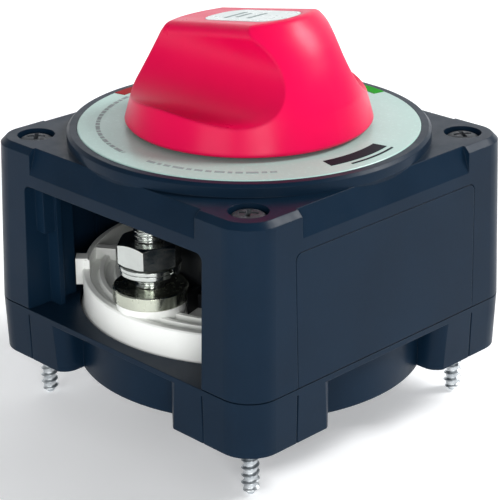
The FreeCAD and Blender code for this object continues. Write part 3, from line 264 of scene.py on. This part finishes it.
MATERIALS = {
    "case": moulded_plastic("case_slate", colour_of(13, 32, 49), rough=0.34, grain=0.30, edge=0.32,
                            gloss=0.09),
    "carrier": moulded_plastic("carrier_white", colour_of(249, 251, 247), rough=0.34, grain=0.15, edge=0.25,
                               tone=0.02),
    "black": moulded_plastic("contact_black", colour_of(20, 22, 25), rough=0.38, grain=0.2, edge=0.25,
                             gloss=0.3),
    "cream": moulded_plastic("acetal_cream", colour_of(222, 216, 200), rough=0.36, grain=0.1, edge=0.25,
                             tone=0.04),
    "dial": moulded_plastic("dial_pale", colour_of(170, 204, 196), rough=0.42, grain=0.12, edge=0.2,
                            coat=0.15, tone=0.03),
    "badge": moulded_plastic("badge_white", colour_of(200, 212, 210), rough=0.28, grain=0.06, edge=0.15,
                             coat=0.3, tone=0.02),
    "knob": knob_plastic(),
    "steel": turned_metal("stainless", colour_of(208, 212, 208), rough=0.19, scratch=0.12),
    "dark_steel": turned_metal("shaft_steel", colour_of(178, 182, 186), rough=0.3),
    "copper": turned_metal("copper", colour_of(214, 138, 100), rough=0.34, lines=(900.0, 900.0, 200.0)),
    "silver": turned_metal("silver_contact", colour_of(226, 224, 218), rough=0.3),
    "tin": turned_metal("tin_plate", colour_of(206, 210, 194), rough=0.22, lines=(900.0, 900.0, 300.0),
                        scratch=0.12),
    "screw": screw_metal(),
    "red_ink": printed_ink("ink_red", colour_of(148, 6, 14)),
    "green_ink": printed_ink("ink_green", colour_of(18, 150, 12)),
    "dark_ink": printed_ink("ink_slate", colour_of(20, 25, 34)),
    "grey_ink": printed_ink("ink_grey", colour_of(142, 154, 154)),
    "pale_ink": printed_ink("ink_pale", colour_of(228, 232, 230)),
    "rubber": rubber(),
}

NODES_BY_LOOK = {
    "case": ("base", "housing", "side_cover_right", "side_cover_rear", "side_cover_left"),
    "carrier": ("stud_carrier",),
    "black": ("contact_cover", "rotor"),
    "cream": ("shaft_bush", "detent_cam", "thrust_washer"),
    "dial": ("dial_plate",),
    "badge": ("knob_badge",),
    "knob": ("knob",),
    "steel": ("knob_screw", "cover_screws", "contact_spring", "detent_spring_right", "detent_spring_left",
              "terminal_stud_front", "terminal_stud_rear", "flat_washer_front", "flat_washer_rear",
              "spring_washer_front", "spring_washer_rear", "nut_front", "nut_rear"),
    "dark_steel": ("drive_shaft", "retaining_clip"),
    "copper": ("contact_bridge", "contact_bar_front", "contact_bar_rear"),
    "silver": ("bridge_tips", "fixed_tip_front", "fixed_tip_rear"),
    "tin": ("terminal_pad_front", "terminal_pad_rear"),
    "screw": ("mounting_screws",),
    "red_ink": ("off_mark",),
    "green_ink": ("on_mark",),
    "dark_ink": ("dial_marks",),
    "rubber": ("shaft_seal",),
}

for look, node_names in NODES_BY_LOOK.items():
    for node_name in node_names:
        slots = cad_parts[node_name].data.materials
        slots.clear()
        slots.append(MATERIALS[look])


# ---------------------------------------------------------------- mesh helpers
BLOCK_CORNERS = ((-1, -1), (1, -1), (1, 1), (-1, 1))
BLOCK_FACES = [(3, 2, 1, 0), (4, 5, 6, 7), (0, 1, 5, 4), (1, 2, 6, 5), (2, 3, 7, 6), (3, 0, 4, 7)]


def mesh_piece(name, points, faces, look, slot, body=CASE, smooth_angle=None):
    """A new piece from points in metres and faces, riding on a body."""
    mesh = bpy.data.meshes.new(name)
    mesh.from_pydata(points, [], faces)
    mesh.validate()
    tidy = bmesh.new()
    tidy.from_mesh(mesh)
    bmesh.ops.recalc_face_normals(tidy, faces=tidy.faces)
    tidy.to_mesh(mesh)
    tidy.free()
    mesh.materials.append(MATERIALS[look])
    if smooth_angle is not None:
        mesh.polygons.foreach_set("use_smooth", [True] * len(mesh.polygons))
        mesh.set_sharp_from_angle(angle=math.radians(smooth_angle))
    piece = bpy.data.objects.new(name, mesh)
    bpy.context.scene.collection.objects.link(piece)
    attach(piece, body)
    return piece


def joined(parts):
    """Several (points, faces) lists as one."""
    points, faces = [], []
    for part_points, part_faces in parts:
        shift = len(points)
        points += part_points
        faces += [tuple(index + shift for index in face) for face in part_faces]
    return points, faces


def on_circle(radius, angle, x, y, height):
    """A point in metres on a level circle round (x, y); all sizes are millimetres."""
    return ((x + radius * math.cos(angle)) * MM, (y + radius * math.sin(angle)) * MM, height * MM)


def turned_grid(rows, radius_at, around, x, y):
    """A closed surface round an upright axis: rows are heights from the bottom up, in millimetres."""
    points = []
    for height in rows:
        for step in range(around):
            angle = 2 * math.pi * step / around
            points.append(on_circle(radius_at(height, angle), angle, x, y, height))
    faces = []
    for row in range(len(rows) - 1):
        for step in range(around):
            following = (step + 1) % around
            faces.append((row * around + step, row * around + following,
                          (row + 1) * around + following, (row + 1) * around + step))
    faces.append(tuple(reversed(range(around))))
    last = (len(rows) - 1) * around
    faces.append(tuple(last + step for step in range(around)))
    return points, faces


def evenly(start, end, step):
    """Heights from start to end, about a step apart."""
    count = max(1, round((end - start) / step))
    return [start + (end - start) * index / count for index in range(count + 1)]


# ---------------------------------------------------------------- screws and studs, in millimetres
HEAD_RADIUS, HEAD_HEIGHT, HEAD_TURNS = 4.65, 2.5, (48, 20, 39, 57)
SCREWS_LOW, SCREWS_HIGH = box_in_mm("mounting_screws")
SCREW_AT = SCREWS_HIGH[0] - HEAD_RADIUS
SCREW_PLACES = [(sx * SCREW_AT, sy * SCREW_AT) for sx in (-1, 1) for sy in (-1, 1)]
HEAD_SEAT, SCREW_TIP = SCREWS_HIGH[2] - HEAD_HEIGHT, SCREWS_LOW[2]
SHANK_RADIUS, CORE_RADIUS, CREST_RADIUS = 2.4, 1.7, 2.38
SCREW_THREAD_TOP, SCREW_PITCH = -1.0, 2.1
THREAD_FADE_IN, THREAD_FADE_OUT = 0.8, 1.8      # heights over which the thread grows and dies away
RIDGE_HALF_WIDTH, RIDGE_CURVE = 0.26, 0.85      # the first is a share of the pitch
POINT_LENGTH, POINT_SHARE = 1.1, 0.55           # the second is how much of the radius is left at the tip


def screw_shank_radius(height, angle):
    """A plain shank down into the panel, then one sharp ridge winding round a thinner core."""
    if height > SCREW_THREAD_TOP:
        return SHANK_RADIUS
    phase = (height / SCREW_PITCH - angle / (2 * math.pi)) % 1.0
    ridge = max(0.0, 1.0 - abs(phase - 0.5) / RIDGE_HALF_WIDTH) ** RIDGE_CURVE
    fade_in = min(1.0, (SCREW_THREAD_TOP - height) / THREAD_FADE_IN)
    fade_out = min(1.0, max(0.0, (height - SCREW_TIP) / THREAD_FADE_OUT))
    taper = POINT_SHARE + (1 - POINT_SHARE) * min(1.0, (height - SCREW_TIP) / POINT_LENGTH)
    smooth = SHANK_RADIUS + (CORE_RADIUS - SHANK_RADIUS) * fade_in
    return smooth * taper + (CREST_RADIUS - CORE_RADIUS) * ridge * fade_in * fade_out


def pan_head_radius(height, _angle):
    """The head's upright rim and its rounded crown, the same at every angle."""
    rim_share, crown_share, crown_curve = 0.25, 0.80, 2.6
    up = (height - HEAD_SEAT) / HEAD_HEIGHT
    if up <= rim_share:
        return HEAD_RADIUS
    return HEAD_RADIUS * math.sqrt(max(0.0, 1 - ((up - rim_share) / crown_share) ** crown_curve))


def recess_arm():
    """A tapered block, wider at the top, that cuts half of the cross recess."""
    points = []
    for half_length, half_width, height in ((1.3, 0.4, HEAD_SEAT + 0.9),
                                            (2.75, 0.62, HEAD_SEAT + HEAD_HEIGHT + 0.4)):
        points += [(a * half_length * MM, b * half_width * MM, height * MM) for a, b in BLOCK_CORNERS]
    return points, BLOCK_FACES


def plain_object(name, points, faces):
    """A helper object that is removed again after use."""
    mesh = bpy.data.meshes.new(name)
    mesh.from_pydata(points, [], faces)
    thing = bpy.data.objects.new(name, mesh)
    bpy.context.scene.collection.objects.link(thing)
    return thing


def mesh_with_cuts(points, faces, cutters):
    """The points and faces of a solid after other solids have been cut out of it."""
    solid = plain_object("solid", points, faces)
    helpers = [plain_object(f"cutter_{index}", *cutter) for index, cutter in enumerate(cutters)]
    for helper in helpers:
        cut = solid.modifiers.new(helper.name, "BOOLEAN")
        cut.operation = "DIFFERENCE"
        cut.solver = "EXACT"
        cut.object = helper
    bpy.context.view_layer.update()
    shape = solid.evaluated_get(bpy.context.evaluated_depsgraph_get()).to_mesh()
    cut_points = [tuple(vertex.co) for vertex in shape.vertices]
    cut_faces = [tuple(face.vertices) for face in shape.polygons]
    for helper in [solid] + helpers:
        bpy.data.objects.remove(helper)
    return cut_points, cut_faces


def moved(part, x, y, turn):
    """Points and faces again, turned about Z by some degrees and then moved by millimetres."""
    points, faces = part
    spin = Matrix.Rotation(math.radians(turn), 3, "Z")
    return [tuple(spin @ Vector(point) + Vector((x * MM, y * MM, 0))) for point in points], faces


def make_pan_head():
    """One screw head about the origin, with its cross recess."""
    rows = evenly(HEAD_SEAT, HEAD_SEAT + HEAD_HEIGHT, 0.16)
    points, faces = turned_grid(rows, pan_head_radius, 48, 0, 0)
    return mesh_with_cuts(points, faces, [recess_arm(), moved(recess_arm(), 0, 0, 90)])


def make_mounting_screws():
    """All four self-tapping screws as one piece, each turned a little differently."""
    head = make_pan_head()
    plain_rows = [-0.5, 10, 30, 45, HEAD_SEAT + 0.5]
    rows = evenly(SCREW_TIP, SCREW_THREAD_TOP, 0.1) + plain_rows
    parts = []
    for (x, y), turn in zip(SCREW_PLACES, HEAD_TURNS):
        parts.append(turned_grid(rows, screw_shank_radius, 36, x, y))
        parts.append(moved(head, x, y, turn))
    piece = mesh_piece("screws_with_threads", *joined(parts), "screw", "stainless", smooth_angle=38)
    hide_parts("mounting_screws")


STUD_LOW, STUD_HIGH = box_in_mm("terminal_stud_front")
STUD_BOTTOM, STUD_TOP, STUD_AT = STUD_LOW[2], STUD_HIGH[2], -(STUD_LOW[1] + STUD_HIGH[1]) / 2
STUD_RADIUS, STUD_HEAD_RADIUS, STUD_HEAD_TOP, STUD_THREAD_START = 4.0, 6.2, 12.0, 24.0
STUD_PITCH, STUD_THREAD_DEPTH = 1.25, 0.62
STUD_FADE_IN, STUD_FADE_OUT = 1.0, 0.5
GROOVE_HALF_WIDTH, GROOVE_FLATNESS = 0.42, 1.25         # the first is a share of the pitch
STUD_END_RADIUS, STUD_CHAMFER_SLOPE = 3.2, 0.9


def stud_radius(height, angle):
    """An M8 stud: round head, plain neck, then a thread up to its chamfered end."""
    if height <= STUD_HEAD_TOP:
        return STUD_HEAD_RADIUS
    if height < STUD_THREAD_START:
        return STUD_RADIUS
    phase = (height / STUD_PITCH - angle / (2 * math.pi)) % 1.0
    groove = min(1.0, max(0.0, (1 - abs(phase - 0.5) / GROOVE_HALF_WIDTH)) * GROOVE_FLATNESS)
    fade_in = min(1.0, (height - STUD_THREAD_START) / STUD_FADE_IN)
    fade_out = min(1.0, max(0.0, (STUD_TOP - height) / STUD_FADE_OUT))
    chamfered = min(STUD_RADIUS, STUD_END_RADIUS + (STUD_TOP - height) * STUD_CHAMFER_SLOPE)
    return chamfered - STUD_THREAD_DEPTH * groove * fade_in * fade_out


def make_terminal_studs():
    """The two studs with real threads."""
    neck_middle = (STUD_HEAD_TOP + STUD_THREAD_START) / 2
    rows = [STUD_BOTTOM, STUD_HEAD_TOP - 0.01, STUD_HEAD_TOP + 0.01, neck_middle, STUD_THREAD_START]
    rows += evenly(STUD_THREAD_START + 0.1, STUD_TOP, 0.12)
    for end, sign in (("front", -1), ("rear", 1)):
        grid = turned_grid(rows, stud_radius, 56, 0, sign * STUD_AT)
        piece = mesh_piece(f"threaded_stud_{end}", *grid, "steel", "stainless", smooth_angle=40)
        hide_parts(f"terminal_stud_{end}")


# ---------------------------------------------------------------- printed marks, in millimetres
PRINT_THICKNESS = 0.05
DIAL_TOP = box_in_mm("dial_plate")[1][2]
SECTOR_TOP = box_in_mm("off_mark")[1][2]
SECTOR_AT = 42.9                # middle radius of the coloured sectors
DASH_INNER, DASH_OUTER = 39.0, 40.1
DASH_GAP, DASH_LENGTHS = 1.1, (3.6, 1.6, 2.6, 4.4, 1.9, 3.0, 2.2)        # in degrees
DASH_ROWS = ((-168.0, -97.0), (-84.0, -35.0))   # the first and last angle of each row
CREST_TILT, CREST_HEIGHT = math.radians(8.98), 91.7
BADGE_PROUD = 0.05              # how far the badge stands above the knob's crest


def flat_section(inner, outer, angle, x, y, low):
    """The four corners of a print's section at one angle, from its lower inner corner round."""
    corners = ((inner, low), (outer, low), (outer, low + PRINT_THICKNESS), (inner, low + PRINT_THICKNESS))
    return [on_circle(radius, angle, x, y, height) for radius, height in corners]


def section_sides(first, following):
    """The four faces between two sections, given the index of each section's first corner."""
    return [(first + side, first + (side + 1) % 4, following + (side + 1) % 4, following + side)
            for side in range(4)]


def arc_strip(inner, outer, start, end, low):
    """A thin flat arc about the Z axis between two angles in degrees."""
    count = max(2, round(abs(end - start) / 2))
    points, faces = [], []
    for index in range(count + 1):
        angle = math.radians(start + (end - start) * index / count)
        points += flat_section(inner, outer, angle, 0, 0, low)
    for index in range(count):
        faces += section_sides(4 * index, 4 * index + 4)
    faces += [(0, 1, 2, 3), tuple(4 * count + side for side in (3, 2, 1, 0))]
    return points, faces


def make_dial_dashes():
    """Rows of short grey dashes round the front of the dial."""
    parts = []
    for angle, last in DASH_ROWS:
        lengths = itertools.cycle(DASH_LENGTHS)
        while angle < last:
            end = min(last, angle + next(lengths))
            parts.append(arc_strip(DASH_INNER, DASH_OUTER, angle, end, DIAL_TOP))
            angle = end + DASH_GAP
    mesh_piece("dial_dashes", *joined(parts), "grey_ink", "dark_print")


def ring_symbol(x, y, inner, outer, low):
    """A flat ring, the generic sign for off."""
    steps = 28
    points, faces = [], []
    for index in range(steps):
        points += flat_section(inner, outer, 2 * math.pi * index / steps, x, y, low)
        faces += section_sides(4 * index, 4 * ((index + 1) % steps))
    return points, faces


def flat_bar(x, y, length_x, length_y, low):
    """A thin rectangular print whose underside is at a given height."""
    points = [((x + a * length_x / 2) * MM, (y + b * length_y / 2) * MM, height * MM)
              for height in (low, low + PRINT_THICKNESS) for a, b in BLOCK_CORNERS]
    return points, BLOCK_FACES


def make_symbols():
    """The off ring and the on bar, printed pale on their coloured sectors."""
    ring = ring_symbol(-SECTOR_AT, 0, inner=0.75, outer=1.15, low=SECTOR_TOP)
    bar = flat_bar(0, SECTOR_AT, length_x=0.45, length_y=2.3, low=SECTOR_TOP)
    mesh_piece("off_symbol", *ring, "pale_ink", "dark_print")
    mesh_piece("on_symbol", *bar, "pale_ink", "dark_print")


def make_badge_marks():
    """Plain grey lines on the badge, in the plane of the knob's crest."""
    lean = Matrix.Rotation(-CREST_TILT, 3, "Y")
    badge_top = Vector((0, 0, (CREST_HEIGHT + BADGE_PROUD / math.cos(CREST_TILT)) * MM))
    parts = []
    for x, length in ((-4.6, 7.6), (-1.6, 5.0), (3.2, 6.6)):
        points, faces = flat_bar(x / math.cos(CREST_TILT), 0, length_x=1.1, length_y=length, low=0.0)
        parts.append(([tuple(lean @ Vector(point) + badge_top) for point in points], faces))
    mesh_piece("badge_lines", *joined(parts), "grey_ink", "dark_print", TURNING)


# ---------------------------------------------------------------- studio, in metres
LIGHT_DISTANCE, LIT_PLACE = 2.2, Vector((0, 0, 0.04))
CAMERA_PLACE = Vector((307.26, -304.11, 206.89)) * MM
CAMERA_TARGET = Vector((0, 0, 26.78)) * MM
CAMERA_ROLL = math.radians(-0.40)


def make_floor():
    """A plain pale floor under the screw tips that sweeps up behind the switch."""
    low = CAD_BOX[0][2]
    reach, sweep_start, sweep_radius, steps = 3.0, 1.2, 0.6, 24
    profile = [(-reach, low)]
    for index in range(steps + 1):
        angle = math.pi / 2 * index / steps
        depth = sweep_start + sweep_radius * math.sin(angle)
        profile.append((depth, low + sweep_radius * (1 - math.cos(angle))))
    profile.append((sweep_start + sweep_radius, reach))
    points = [(side * reach, depth, height) for depth, height in profile for side in (-1, 1)]
    faces = [(2 * row, 2 * row + 1, 2 * row + 3, 2 * row + 2) for row in range(len(profile) - 1)]
    mesh = bpy.data.meshes.new("floor")
    mesh.from_pydata(points, [], faces)
    mesh.polygons.foreach_set("use_smooth", [True] * len(mesh.polygons))
    mesh.materials.append(floor_material())
    floor = bpy.data.objects.new("floor", mesh)
    floor.rotation_euler.z = math.radians(45)
    bpy.context.scene.collection.objects.link(floor)


def add_soft_light(name, azimuth, elevation, size, power):
    """A square area light, its azimuth counted from the front towards the right."""
    data = bpy.data.lights.new(name, "AREA")
    data.shape = "SQUARE"
    data.size = size
    data.energy = power
    light = bpy.data.objects.new(name, data)
    turn, rise = math.radians(azimuth), math.radians(elevation)
    outward = Vector((math.sin(turn) * math.cos(rise), -math.cos(turn) * math.cos(rise), math.sin(rise)))
    light.location = outward * LIGHT_DISTANCE
    light.rotation_euler = (LIT_PLACE - light.location).to_track_quat("-Z", "Y").to_euler()
    bpy.context.scene.collection.objects.link(light)


def make_lights():
    """A low key from the front right, a wide front light, one from behind and an even pale world."""
    add_soft_light("key", azimuth=56, elevation=14, size=0.8, power=19.0)
    add_soft_light("front", azimuth=14, elevation=14, size=1.1, power=15.0)
    add_soft_light("rim", azimuth=149, elevation=41, size=0.7, power=40.0)
    world = bpy.data.worlds.new("studio")
    world.use_nodes = True
    sky = world.node_tree.nodes["Background"].inputs
    sky["Color"].default_value = (0.95, 0.97, 1.0, 1.0)
    sky["Strength"].default_value = 0.25
    bpy.context.scene.world = world


def make_camera():
    """The camera, high on the front right, with its focal length and slight roll."""
    data = bpy.data.cameras.new("camera")
    data.sensor_width = 36.0
    data.lens = 124.9
    data.clip_start = 0.01
    data.clip_end = 20.0
    camera = bpy.data.objects.new("camera", data)
    bpy.context.scene.collection.objects.link(camera)
    camera.location = CAMERA_PLACE
    facing = (CAMERA_TARGET - CAMERA_PLACE).to_track_quat("-Z", "Y").to_matrix()
    camera.rotation_euler = (facing @ Matrix.Rotation(CAMERA_ROLL, 3, "Z")).to_euler()
    bpy.context.scene.camera = camera


make_camera()
make_mounting_screws()
make_terminal_studs()
make_dial_dashes()
make_symbols()
make_badge_marks()
make_floor()
make_lights()
bpy.context.scene.view_settings.view_transform = "Standard"
